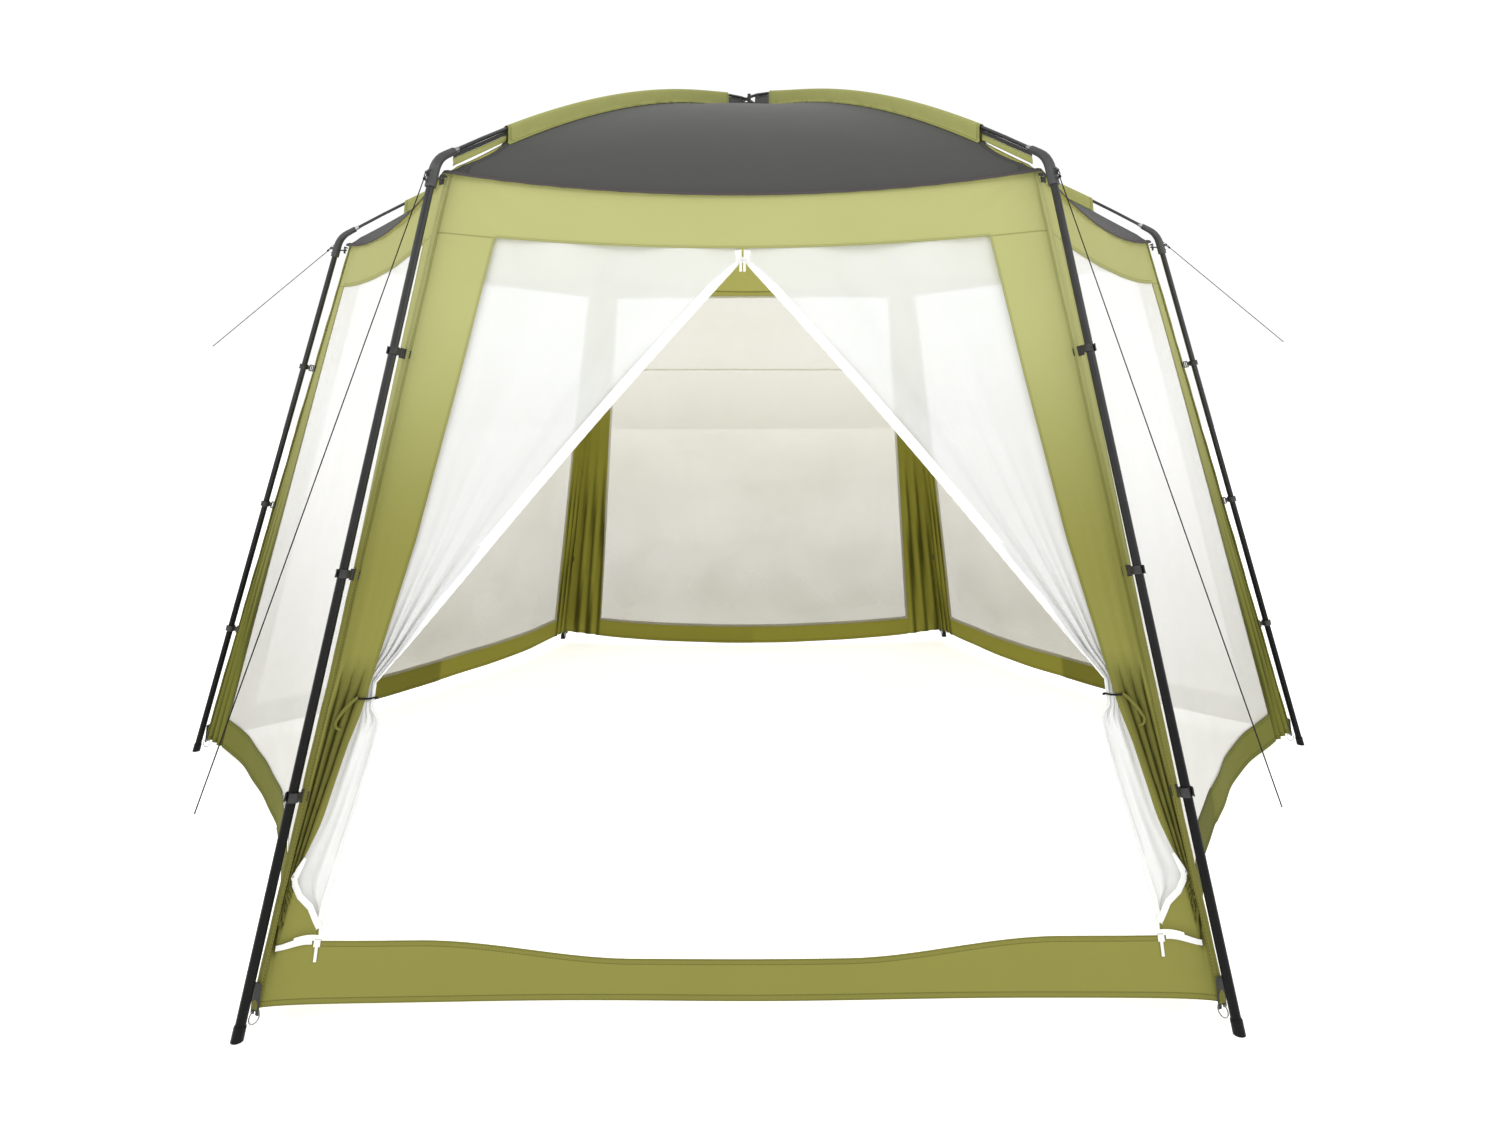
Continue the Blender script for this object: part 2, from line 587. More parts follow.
GREEN_HIGH, GREEN_LOW = srgb(197, 199, 130), srgb(150, 151, 78)
M = {
    "green": cloth_material("cloth_olive", srgb(180, 181, 120), srgb(140, 138, 70), 1.36, 0.75),
    "green_side": cloth_material("cloth_olive_side", srgb(176, 176, 116), srgb(110, 111, 46), 1.58, 0.30),
    "green_in": cloth_material("cloth_olive_shade", srgb(196, 194, 112), srgb(145, 141, 57), 1.56, 0.90),
    "under": cloth_material("cloth_olive_underside", srgb(190, 188, 110), srgb(190, 188, 110), 2.2, 1.6, wrinkle=0.0012),
    "sleeve": cloth_material("cloth_olive_tunnel", srgb(172, 174, 108), srgb(172, 174, 108), 2.2, 1.6, wrinkle=0.0035),
    "roof": cloth_material("cloth_grey", srgb(100, 101, 100), srgb(81, 81, 80), 2.12, 1.62, hem_dark=0.75, rough=0.70, wrinkle=0.0012, sheen=0.05),
    "binding": cloth_material("cloth_grey_binding", srgb(84, 79, 79), srgb(84, 79, 79), 2.0, 1.5, hem_dark=0.9),
    "net": net_material("netting_white", srgb(255, 253, 249), srgb(178, 173, 158), 1.40, 0.10, 0.50, 0.34),
    "net_side": net_material("netting_side", srgb(248, 248, 248), srgb(222, 221, 216), 1.20, 0.15, 0.60, 0.56),
    "net_door": net_material("netting_door", srgb(241, 243, 243), srgb(234, 235, 235), 1.40, 0.85, 0.50, 0.49),
    "tape": white_tape_material("zip_tape_white"),
    "web": webbing_material("webbing_black"),
    "pole": powder_coat_material("powder_coat_black"),
    "rod": rod_material("rod_black"),
    "elbow": plastic_material("elbow_charcoal", (0.052, 0.053, 0.053), 0.42),
    "clip": plastic_material("clip_black", (0.022, 0.021, 0.021), 0.42),
    "white_plastic": plastic_material("zip_plastic_white", (0.80, 0.80, 0.78), 0.38),
    "steel": steel_material("ring_steel"),
    "cord": cord_material("cord_black"),
    "cord_green": cloth_material("toggle_olive", srgb(122, 122, 62), srgb(112, 112, 54), 1.0, 0.3),
}

# ---------------------------------------------------------- carried CAD nodes
for name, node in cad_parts.items():
    if name.startswith("leg_"):
        m = M["pole"]
    elif name.startswith("elbow_"):
        m = M["elbow"]
    elif name.startswith("roof_rod_"):
        m = M["rod"]
    elif name.startswith("peg_ring_"):
        m = M["steel"]
    elif name.startswith("guy_line_"):
        m = M["cord"]
    elif name.startswith("zip_"):
        m = M["white_plastic"]
    else:
        m = M["web"]
    for i in range(max(1, len(node.material_slots))):
        if i < len(node.material_slots):
            node.material_slots[i].material = m
        else:
            node.data.materials.append(m)


# ----------------------------------------------------------------- roof sheet
def make_roof():
    D = np.concatenate([np.linspace(0.035, 1.06, 34), np.linspace(1.075, EDGE_D, 15)])
    S = np.linspace(-1, 1, 33)
    index, verts, uvs, de = {}, [], [], []

    def gap(d):
        if d <= 1.086 or d >= 1.240:
            return 0.0
        return 0.028 * math.sin(math.pi * (d - 1.086) / (1.240 - 1.086)) ** 0.75

    def put(key, p, uv, e):
        if key not in index:
            index[key] = len(verts)
            verts.append(p)
            uvs.append(uv)
            de.append(e)
        return index[key]

    apex = put("apex", (0, 0, ROD_TOP - DROP - 0.0005), (0, 0), 1.0)
    grid = {}
    for k in range(6):
        a = math.radians(60 * k + 30)
        m, t = np.array((math.cos(a), math.sin(a))), np.array((-math.sin(a), math.cos(a)))
        for i, d in enumerate(D):
            g = gap(d)
            for j, s in enumerate(S):
                corner = (k if s < 0 else k + 1) % 6
                s2 = s * (1 - g * (0.15 if corner in (1, 2) else 1.0))
                z = float(roof_z(np.array(d), np.array(s2)))
                inner = (1 - s2 ** 8)
                # soft tension wrinkles that fan out from each corner, and a little slack
                cx, cy = EDGE_D - d, (1 - abs(s2)) * d * T30
                rho, th = math.hypot(cx, cy), math.atan2(cy, cx + 1e-6)
                z += 0.0040 * math.exp(-rho / 0.22) * math.sin(11 * th + k) * inner * min(1, cx / 0.06)
                z += 0.0016 * math.sin(6 * s2 + 5 * d + 1.7 * k) * inner * min(1, cx / 0.06) * min(1, d / 0.2)
                lat = s2 * d * T30
                p = m * d + t * lat
                e = EDGE_D - d
                if g > 0 or (1.06 < d < 1.25 and abs(s) > 0.9):
                    e = min(e, (1 - abs(s2)) * d * T30 - gap(d) * d * T30 + (0.0 if g > 0 else 0.02))
                if abs(s) == 1.0:
                    key = ("gap", k, i, j) if g > 0 else ("rod", (k if s < 0 else k + 1) % 6, i)
                else:
                    key = (k, i, j)
                grid[k, i, j] = put(key, (p[0], p[1], z), (lat + 3 * k, d), max(e, 0.0) + 0.0005)
    faces = []
    for k in range(6):
        for j in range(len(S) - 1):
            faces.append((apex, grid[k, 0, j], grid[k, 0, j + 1]))
            for i in range(len(D) - 1):
                faces.append((grid[k, i, j], grid[k, i + 1, j], grid[k, i + 1, j + 1], grid[k, i, j + 1]))
    shell("roof_sheet", verts, faces, 0.0016, M["roof"], np.array(uvs), {"de": np.array(de)},
          slot="roof_cloth", replaces=("roof_canopy",), centre=False, back_mat=M["under"])

    # binding tape folded over the roof's edge, above the wall header
    vs, uv, dd, fs = [], [], [], []
    for k in range(6):
        a = math.radians(60 * k + 30)
        m, t = np.array((math.cos(a), math.sin(a), 0)), np.array((-math.sin(a), math.cos(a), 0))
        for s in np.linspace(-1, 1, 41)[:-1]:
            lat = s * EDGE_D * T30
            for (o, h) in ((-0.008, 0.0046), (0.0015, 0.0012), (0.0026, -0.0022), (0.0034, -0.0050)):
                z = edge_z(s) + h + (0.0004 * math.sin(90 * lat))
                vs.append(m * (EDGE_D + o) + t * (lat * (EDGE_D + o) / EDGE_D) + np.array((0, 0, z)))
                uv.append((lat + 3 * k, h))
                dd.append(0.020)
    rows = len(vs) // 4
    for i in range(rows):
        for j in range(3):
            n = (i + 1) % rows
            fs.append((i * 4 + j, i * 4 + j + 1, n * 4 + j + 1, n * 4 + j))
    shell("roof_edge_binding", vs, fs, 0.0010, M["binding"], np.array(uv), {"de": np.array(dd)}, slot="roof_cloth")


def make_sleeves():
    rng = np.random.RandomState(11)
    R = np.unique(np.concatenate([np.linspace(SLEEVE_IN, SLEEVE_IN + 0.03, 5), np.linspace(SLEEVE_IN + 0.03, SLEEVE_OUT - 0.03, 110),
                                  np.linspace(SLEEVE_OUT - 0.03, SLEEVE_OUT, 5)]))
    for c, (name, az) in enumerate(CORNERS.items()):
        k = (0, 1, 2, 0, 1, 2)[az // 60]
        rz = rod_z(R, k)
        ph = rng.rand(8) * 6.28
        pucker = (np.sin(2 * np.pi * R / 0.037 + 1.6 * np.sin(9 * R + ph[0])) * 0.6
                  + np.sin(2 * np.pi * R / 0.061 + ph[1]) * 0.4 + np.sin(2 * np.pi * R / 0.021 + ph[2]) * 0.25)
        slack = np.sin(2 * np.pi * R / 0.17 + ph[3]) * 0.6 + np.sin(2 * np.pi * R / 0.083 + ph[4]) * 0.4
        ends = np.minimum(smooth((R - SLEEVE_IN) / 0.012), smooth((SLEEVE_OUT - R) / 0.012))
        hem = 0.0006 * (1 - ends)
        prof = []
        for side in (-1, 1):
            base_y = 0.0100 + 0.0008 * pucker
            flange_y = 0.0185 + 0.0016 * pucker
            zb = roof_z_near_rod(R, base_y)
            zf = roof_z_near_rod(R, flange_y)
            w1 = 0.0098 + 0.0012 * slack * side + hem + 0.0010 * pucker
            w2 = 0.0092 + 0.0011 * slack * side + hem + 0.0004 * pucker
            prof.append([
                (side * flange_y, zf + 0.0012 + 0.0007 * (1 + pucker), 0.0025 + 0 * R),
                (side * (0.55 * flange_y + 0.45 * base_y), 0.5 * (zb + zf) + 0.0016 + 0.0006 * (1 + pucker), 0.009 + 0 * R),
                (side * base_y, zb + 0.0035 + 0.0003 * pucker, 0.0155 + 0 * R),
                (side * w1, zb + 0.012, 0.03 + 0 * R),
                (side * w2, 0.5 * (zb + rz), 0.05 + 0 * R),
                (side * (0.0084 + hem), rz - 0.001, 0.05 + 0 * R),
                (side * (0.0068 + hem), rz + 0.0050, 0.05 + 0 * R),
                (side * 0.0036, rz + 0.0076 + hem, 0.05 + 0 * R),
            ])
        section = prof[0] + [(0 * R, rz + 0.0084 + hem, 0.05 + 0 * R)] + list(reversed(prof[1]))
        ncol = len(section)
        vs, uv, de = [], [], []
        along = np.concatenate([[0], np.cumsum(np.hypot(np.diff(R), np.diff(rz)))])
        for i in range(len(R)):
            girth = 0.0
            last = None
            for y, z, e in section:
                q = (float(np.broadcast_to(y, R.shape)[i]), float(np.broadcast_to(z, R.shape)[i]))
                if last:
                    girth += math.hypot(q[0] - last[0], q[1] - last[1])
                last = q
                vs.append((R[i], q[0], q[1]))
                uv.append((girth, along[i]))
                de.append(min(float(np.broadcast_to(e, R.shape)[i]), 0.006 + min(R[i] - SLEEVE_IN, SLEEVE_OUT - R[i])))
        T = turned(az)
        vs = np.array([T @ Vector(v) for v in vs])
        shell("roof_sleeve_" + name, vs, grid_faces(len(R), ncol), 0.0010, M["sleeve"], np.array(uv), {"de": np.array(de)},
              slot="wall_cloth", replaces=("roof_canopy",), angle=70)


# ---------------------------------------------------------------------- walls
def wall_rows(w, lateral, row, inset=0.0):
    """Height of a structured row (0 hem, 1 skirt top, 2 header bottom, 3 top) for a lateral law."""
    z = np.full_like(row, 0.8)
    for _ in range(7):
        x = lateral(z)
        s = np.clip(x / w.half(z), -1, 1)
        lo, hi = w.skirt_z(x) + inset, w.head_z(x) - inset
        z = np.where(row <= 1, w.hem(s) + (w.skirt_z(x) - w.hem(s)) * row,
                     np.where(row <= 2, lo + (hi - lo) * (row - 1),
                              w.head_z(x) + (w.top_z(s) - w.head_z(x)) * (row - 2)))
    return lateral(z), z


def strip_pleats(w, x, z):
    """Gathers that run down the corner strips."""
    width = np.maximum(w.half(z) - w.edge(z), 0.02)
    t = np.clip((w.half(z) - np.abs(x)) / width, 0, 1)
    on = smooth(t / 0.12) * smooth((1.06 - t) / 0.15)
    side = np.where(x > 0, 1.0, 0.0)
    if w.name == "front":
        # three sharp pleats drawn from the tie down into the corner
        d = w.half(z) - np.abs(x)
        tt = d / np.interp(z, (0.12, 0.2337, 0.40, 0.53, 0.66), (0.011, 0.016, 0.040, 0.058, 0.075))
        amp = 0.0042 * smooth((0.60 - z) / 0.10) * smooth((z - 0.10) / 0.06) + 0.0006 * smooth((1.0 - z) / 0.3)
        wave = np.sin(2 * np.pi * (3.0 * tt + 0.12 * side))
        sharp = np.where(wave < 0, -np.abs(wave) ** 2.2, np.abs(wave) ** 0.8)
        return smooth(tt / 0.10) * smooth((1.04 - tt) / 0.12) * amp * sharp
    amp = 0.0050 * smooth((0.95 - z) / 0.6) + 0.0010
    return on * amp * np.sin(2 * np.pi * (3.1 * t + 0.4 * side) + 3.0 * z + w.seed)


def make_wall(w):
    front = w.name == "front"
    nl, nm = (27, 74) if front else (13, 74)
    L = np.linspace(0, 1, nl)
    mid = np.linspace(-1, 1, nm)
    # column laws: ("L", t) from seam to strip edge, ("M", m), ("R", t)
    cols = [("L", t) for t in L[:-1]] + [("M", m) for m in mid] + [("R", t) for t in L[::-1][1:]]
    rows = np.concatenate([np.linspace(0, 1, 13), np.linspace(1, 1.3, 46 if front else 20), np.linspace(1.3, 2, 44), np.linspace(2, 3, 15)])
    rows = np.unique(np.round(rows, 9))
    kind = np.array([{"L": -1, "M": 0, "R": 1}[c[0]] for c in cols])
    val = np.array([c[1] for c in cols])
    K, RR = np.meshgrid(kind, rows)
    Vv, _ = np.meshgrid(val, rows)

    def lateral(z):
        h, e = w.half(z), w.edge(z)
        side = h - (h - e) * Vv
        return np.where(K == 0, e * Vv, np.where(K < 0, -side, side))

    X, Z = wall_rows(w, lateral, RR)
    pleats = strip_pleats(w, X, Z)
    occ = smooth((-pleats - 0.0004) / (0.0016 if front else 0.0036))
    if front:
        # the cloth between the pleats lies in their shade
        d = w.half(Z) - np.abs(X)
        tt = d / np.interp(Z, (0.12, 0.2337, 0.40, 0.53, 0.66), (0.011, 0.016, 0.040, 0.058, 0.075))
        band = smooth((tt - 0.15) / 0.3) * smooth((1.3 - tt) / 0.3) * smooth((0.62 - Z) / 0.08) * smooth((Z - 0.12) / 0.03)
        occ = np.maximum(occ, 0.58 * band)
        # turned-under lower edge of the gusset, above the zip
        occ = np.maximum(occ, 0.8 * np.exp(-((Z - w.skirt_z(X) - 0.0130) / 0.0035) ** 2) * smooth((np.abs(X) - 0.784) / 0.006)
                         * smooth((0.862 - np.abs(X)) / 0.006))
        occ = np.maximum(occ, 0.55 * smooth((np.abs(X) - 0.852) / 0.012) * smooth((0.155 - Z) / 0.02) * smooth((Z - 0.112) / 0.012))
    n = w.fold(X, Z) + pleats
    if front:
        # along the run of the sill slider the cloth lies flat in the slider's slot
        flat = (smooth((np.abs(X) - 0.725) / 0.03) * smooth((0.845 - np.abs(X)) / 0.02)
                * smooth((Z - 0.085) / 0.018) * smooth((0.175 - Z) / 0.02))
        n = n * (1 - flat) - 0.0012 * flat
    # doubled cloth at the hems stands a little proud of the panel
    s = np.clip(X / w.half(Z), -1, 1)
    e_hem = np.abs(Z - w.hem(s))
    e_top = np.abs(w.top_z(s) - Z)
    in_mid = (K == 0)
    e_skirt = np.where(in_mid, np.abs(w.skirt_z(X) - Z), 1.0)
    e_head = np.where(in_mid, np.abs(w.head_z(X) - Z), 1.0)
    below, above = RR <= 1, RR >= 2
    e_strip = np.where((RR >= 1) & (RR <= 2), np.abs(w.edge(Z) - np.abs(X)), 1.0)
    near_corner = np.hypot(np.maximum(np.abs(X) - w.edge(Z), 0), np.maximum(np.where(below, w.skirt_z(X) - Z, Z - w.head_z(X)), 0))
    de = np.minimum.reduce([e_hem, np.where(below, e_skirt, 1.0), np.where(above, e_head, 1.0), e_strip,
                            np.where(below | above, np.maximum(near_corner, 0.004), 1.0)])
    if front:
        de = np.minimum.reduce([e_hem * 1.8, np.where(below, e_skirt * 1.9, 1.0), np.where(above, e_head * 3.2, 1.0), e_strip * 3.2,
                                np.where(below | above, np.maximum(near_corner * 3.2, 0.004), 1.0)])
    else:
        de = de * 1.5
    head_line = np.where((K != 0) & (Z > 1.0), np.abs(Z - w.head_z(X)), 1.0)
    sd = np.clip(0.05 - head_line, 0, None) if not w.name.startswith("back") else 0 * Z
    n = n + 0.0007 * smooth((0.019 - de) / 0.002)
    P = w.at(X, Z, n)
    ncol = len(cols)

    def keep(i, j):
        in_window = RR[i, 0] >= 1 - 1e-9 and RR[i + 1, 0] <= 2 + 1e-9
        both_mid = kind[j] == 0 and kind[j + 1] == 0
        # the zip's slit between the gusset and the skirt, where the slider's bridge runs
        slit = (front and abs(RR[i, 0] - 1) < 1e-9 and not both_mid
                and 0.780 < abs(X[i, j]) < 0.835 and 0.780 < abs(X[i, j + 1]) < 0.835)
        return not (in_window and both_mid) and not slit

    faces = grid_faces(len(rows), ncol, keep)
    v, faces, (uvx, uvz, dd, oc, sdd) = compact(P.reshape(-1, 3), faces, X.reshape(-1), Z.reshape(-1), de.reshape(-1),
                                                occ.reshape(-1), sd.reshape(-1))
    mat = M["green"] if front else M["green_side"] if w.name in ("front_left", "front_right") else M["green_in"]
    shell("wall_cloth_" + w.name, v, faces, 0.0013, mat, np.stack([uvx, uvz], 1), {"de": dd + 0.0, "occ": oc, "sd": sdd},
          slot="wall_cloth", replaces=("wall_" + w.name,))


def make_net(w):
    nm, nr = 70, 64
    mcol = np.linspace(-1, 1, nm)
    rows = np.linspace(1, 2, nr)
    Mx, RR = np.meshgrid(mcol, rows)

    def lateral(z):
        return (w.edge(z) + 0.010) * Mx

    z = np.full_like(RR, 0.8)
    for _ in range(7):
        x = lateral(z)
        lo, hi = w.skirt_z(x) - 0.010, w.head_z(x) + 0.010
        z = lo + (hi - lo) * (RR - 1)
    X, Z = lateral(z), z
    e = np.minimum.reduce([(1 - np.abs(Mx)) * w.edge(Z), Z - (w.skirt_z(X) - 0.010), (w.head_z(X) + 0.010) - Z])
    inner = smooth((e - 0.014) / 0.10)
    q = w.seed
    low = smooth((0.50 - Z) / 0.40)
    n = w.fold(X, Z) - 0.0022
    slack = 0.0045 * np.sin(4.2 * X + 2.6 * Z + q) + 0.0022 * np.sin(11 * X - 6 * Z + 2 * q)
    slack = slack + low * (0.0065 * np.sin(9 * X + 21 * Z + 1.5 * np.sin(4 * X + q)) + 0.0042 * np.sin(19 * X - 13 * Z + q))
    # drag lines from the top corners
    cx = w.edge(Z) - np.abs(X)
    th = np.arctan2(cx, w.head_z(X) - Z + 1e-3)
    slack = slack + 0.0030 * np.exp(-np.hypot(cx, w.head_z(X) - Z) / 0.35) * np.sin(13 * th + q)
    n = n + slack * inner
    # the seam across the back window
    if w.name == "back":
        n = n + 0.0016 * np.exp(-((Z - 1.235) / 0.004) ** 2)
    P = w.at(X, Z, n).reshape(-1, 3)
    dense = (low * 0.10 * inner).reshape(-1)
    if w.name == "back":
        dense = dense + np.exp(-((Z.reshape(-1) - 1.235) / 0.006) ** 2) * 0.5
    shell("window_veil_" + w.name, P, grid_faces(nr, nm), 0.0006, M["net" if w.name.startswith("back") else "net_side"],
          np.stack([X.reshape(-1), Z.reshape(-1)], 1), {"de": np.full(len(P), 0.05), "dense": dense},
          slot="netting", replaces=("window_net_" + w.name,))
    if w.name == "back":
        x = np.linspace(-1, 1, 60)
        vs, uv = [], []
        for zz in (1.2315, 1.2335, 1.2365, 1.2385):
            xx = x * (w.edge(np.array(zz)) + 0.004)
            zr = np.full_like(xx, zz) + 0.002 * np.sin(3 * xx)
            base = w.fold(xx, zr)
            sl = 0.0045 * np.sin(4.2 * xx + 2.6 * zr + q) + 0.0022 * np.sin(11 * xx - 6 * zr + 2 * q)
            inn = smooth(((1 - np.abs(x)) * w.edge(zr) - 0.004) / 0.10)
            vs.append(w.at(xx, zr, base - 0.0022 + sl * inn - 0.0022))
            uv.append(np.stack([xx, zr], 1))
        shell("window_seam_back", np.concatenate(vs), grid_faces(4, 60), 0.0008, M["tape"], np.concatenate(uv),
              slot="netting")


# ----------------------------------------------------------------------- door
def flap_point(w, sign, f, z):
    """Point of a netting door half: f 0 along the strip, 1 along the zip."""
    zt, zb = 0.560, 0.512
    # upper part: zip edge from the top centre down to the tie, hanging in a slight curve
    u = np.clip((1.436 - z) / (1.436 - zt), 0, 1)
    inner_up = 0.0062 + (0.741 - 0.0062) * u + 0.016 * np.sin(np.pi * u) * (1 - 0.4 * u)
    inner_up = np.where(z > 1.436, 0.0062, inner_up)
    outer_up = w.edge(z) + 0.012 * (1 - u) + 0.004
    low_z = np.array([0.512, 0.500, 0.4914, 0.4534, 0.3591, 0.2882, 0.2192, 0.1927, 0.1558, 0.152])
    inner_lo = np.interp(-z, -low_z, [0.7400, 0.7290, 0.7246, 0.7300, 0.7480, 0.7650, 0.7750, 0.7815, 0.7845, 0.7848])
    outer_lo = np.interp(z, GUSSET_Z, GUSSET_X) + 0.007 * smooth((z - 0.16) / 0.05) + 0.001
    inner = np.where(z > zb, inner_up, inner_lo)
    outer = np.where(z > zb, np.where(z < 0.62, outer_up * smooth((z - zt) / 0.06) + 0.768 * (1 - smooth((z - zt) / 0.06)), outer_up), outer_lo)
    x = outer * (1 - f) + inner * f
    # folds that gather towards the tie
    near = np.exp(-np.abs(z - 0.535) / 0.33)
    band = np.sin(np.pi * np.clip(f, 0, 1)) ** 0.6
    hold = smooth(f / 0.12)
    n = (0.0095 * near * np.sin(2 * np.pi * (3.6 * f ** 1.2) + 0.8 + 2.4 * z)
         + 0.0050 * near * np.sin(2 * np.pi * 7.3 * f + 5 * z)
         + 0.0085 * (1 - near) * np.sin(2 * np.pi * 1.9 * f + 3.1 * z)) * band * hold
    waist = np.exp(-((z - 0.532) / 0.035) ** 2)
    n = n * (1 - 0.75 * waist)
    tail = smooth((0.515 - z) / 0.05)
    calm = band * hold * smooth((z - 0.15) / 0.06)
    flare = calm * (0.0065 * np.sin(2 * np.pi * 1.15 * f + 7 * z + 0.6) + 0.0022 * np.sin(2 * np.pi * 2.6 * f - 11 * z))
    base = -0.0088 + 0.0050 * smooth((0.25 - z) / 0.05)
    return w.at(sign * x, z, base + n * (1 - tail) + flare * tail)


def make_door(w):
    for side, sign in (("left", -1), ("right", 1)):
        zs = np.concatenate([np.linspace(1.502, 0.62, 62), np.linspace(0.61, 0.46, 16), np.linspace(0.452, 0.152, 34)])
        fs = np.linspace(0, 1, 49)
        F, Z = np.meshgrid(fs, zs)
        P = flap_point(w, sign, F, Z)
        faces = grid_faces(len(zs), len(fs), flip=(sign < 0))
        near = np.exp(-np.abs(Z - 0.535) / 0.22)
        # cloth that is laid double along the zip edge and in the tail reads whiter
        dense = 0.30 * near + 0.12 * smooth((F - 0.62) / 0.2) * smooth((1.35 - Z) / 0.5) + 0.12 * smooth((0.52 - Z) / 0.05)
        W = np.abs(F * 0.4)
        shell("door_veil_" + side, P.reshape(-1, 3), faces, 0.0006, M["net_door"],
              np.stack([W.reshape(-1), Z.reshape(-1)], 1),
              {"de": np.full(P.size // 3, 0.05), "dense": dense.reshape(-1)}, slot="netting",
              replaces=("door_flap_" + side,))

        # white zip tape along the free edge, with the coil on its rim
        zt = np.concatenate([np.linspace(1.462, 0.60, 90), np.linspace(0.592, 0.152, 70)])
        offs = np.array([-0.022, -0.018, -0.012, -0.006, -0.001, 0.004])
        vs, uv = [], []
        wide = np.where(zt > 0.60, 1.0, 0.35) * (1 - 0.5 * smooth((zt - 1.415) / 0.02)) + 0.06
        wide = wide * (1 - 0.55 * np.exp(-((zt - 0.532) / 0.03) ** 2))
        run = np.concatenate([[0], np.cumsum(np.abs(np.diff(zt)) * 1.25)])
        for o in offs:
            edge = flap_point(w, sign, np.ones_like(zt), zt)
            inw = flap_point(w, sign, np.full_like(zt, 0.97), zt)
            d = edge - inw
            d = d / np.maximum(np.linalg.norm(d, axis=1, keepdims=True), 1e-9)
            out = np.broadcast_to(w.m, d.shape)
            curl = 0.0018 + 0.0030 * np.sin(run * 9 + 1) * (o / 0.022) + 0.0016 * np.sin(run * 31) * (o / 0.022)
            vs.append(edge + d * (o * wide)[:, None] + out * (curl + 0.0010)[:, None])
            uv.append(np.stack([np.full_like(run, o), run], 1))
        vs = np.concatenate(vs)
        shell("door_zip_tape_" + side, vs, grid_faces(len(offs), len(zt), flip=(sign > 0)), 0.0009, M["tape"],
              np.concatenate(uv), slot="zip_plastic")
        edge = flap_point(w, sign, np.ones_like(zt), zt)
        inw = flap_point(w, sign, np.full_like(zt, 0.97), zt)
        d = edge - inw
        d = d / np.maximum(np.linalg.norm(d, axis=1, keepdims=True), 1e-9)
        path = edge + d * (0.0045 * wide)[:, None] + np.broadcast_to(w.m, d.shape) * 0.0030
        v, f = tube([Vector(p) for p in path], [0.0016 + 0.00025 * (-1) ** i for i in range(len(path))], 8, up=tuple(w.m))
        build("door_zip_coil_" + side, v, f, M["white_plastic"], slot="zip_plastic", recalc=True)

        # the fixed half of the zip, white tape down the gusset's free edge to the sill
        tape = [(0.8330, 0.2660), (0.8420, 0.2480), (0.8490, 0.2337), (0.8461, 0.2242), (0.8335, 0.2060), (0.8109, 0.1890),
                (0.7990, 0.1710), (0.7890, 0.1570)]
        path = []
        for k in range(len(tape) - 1):
            for t in np.linspace(0, 1, 5)[:-1]:
                x = tape[k][0] * (1 - t) + tape[k + 1][0] * t - 0.003
                z = tape[k][1] * (1 - t) + tape[k + 1][1] * t
                path.append(Vector(w.at(np.array(sign * x), np.array(z), 0.0034)))
        v, f = tube(path, [0.0020 + 0.0040 * math.sin(math.pi * min(1, (k + 1) / 9) / 2) for k in range(len(path))], 10, 0.14, up=tuple(w.m))
        build("gusset_zip_tape_" + side, v, f, M["tape"], uv=np.array([(p[0], p[2]) for p in v]), slot="zip_plastic", recalc=True)

        # olive toggle and its loop on the strip, and the elastic round the gathered door
        loop = []
        c = w.at(np.array(sign * 0.756), np.array(0.532), -0.0089)
        up = Vector(w.at(np.array(0.0), np.array(0.6)) - w.at(np.array(0.0), np.array(0.5))).normalized()
        lat = Vector((1, 0, 0))
        nrm = lat.cross(up).normalized()
        for k in range(28):
            a = 2 * math.pi * k / 28
            x = math.copysign(abs(math.cos(a)) ** 0.6, math.cos(a)) * 0.0225
            y = math.copysign(abs(math.sin(a)) ** 0.8, math.sin(a)) * 0.0085
            loop.append(Vector(c) + lat * x + nrm * (y + 0.004) + up * (0.0012 * math.sin(3 * a)))
        v, f = tube(loop, 0.0019, 8, up=tuple(up), closed=True)
        build("door_elastic_" + side, v, f, M["cord"], slot="webbing", recalc=True, replaces=("door_tie_" + side,))
        start = Vector(w.at(np.array(sign * 0.770), np.array(0.536), 0.004))
        tip = Vector(w.at(np.array(sign * 0.806), np.array(0.494), 0.008))
        mid = Vector(w.at(np.array(sign * 0.792), np.array(0.520), 0.010))
        path = []
        for k in range(15):
            t = k / 14
            path.append((1 - t) ** 2 * start + 2 * t * (1 - t) * mid + t * t * tip)
        v1 = tube(path, [0.0027 + 0.0009 * math.sin(math.pi * k / 14) for k in range(15)], 10, 0.55, up=tuple(w.m))
        lower = Vector(w.at(np.array(sign * 0.7935), np.array(0.480), 0.007))
        path2 = []
        for k in range(11):
            t = k / 10
            path2.append((1 - t) ** 2 * tip + 2 * t * (1 - t) * Vector(w.at(np.array(sign * 0.808), np.array(0.482), 0.009)) + t * t * lower)
        v2 = tube(path2, [0.0032 - 0.0009 * k / 10 for k in range(11)], 10, 0.5, up=tuple(w.m))
        v, f = join([v1, v2])
        ob = build("door_toggle_" + side, v, f, M["cord_green"], uv=np.array([(p[0], p[2]) for p in v]),
                   attrs={"de": np.full(len(v), 0.05)}, slot="wall_cloth", recalc=True)

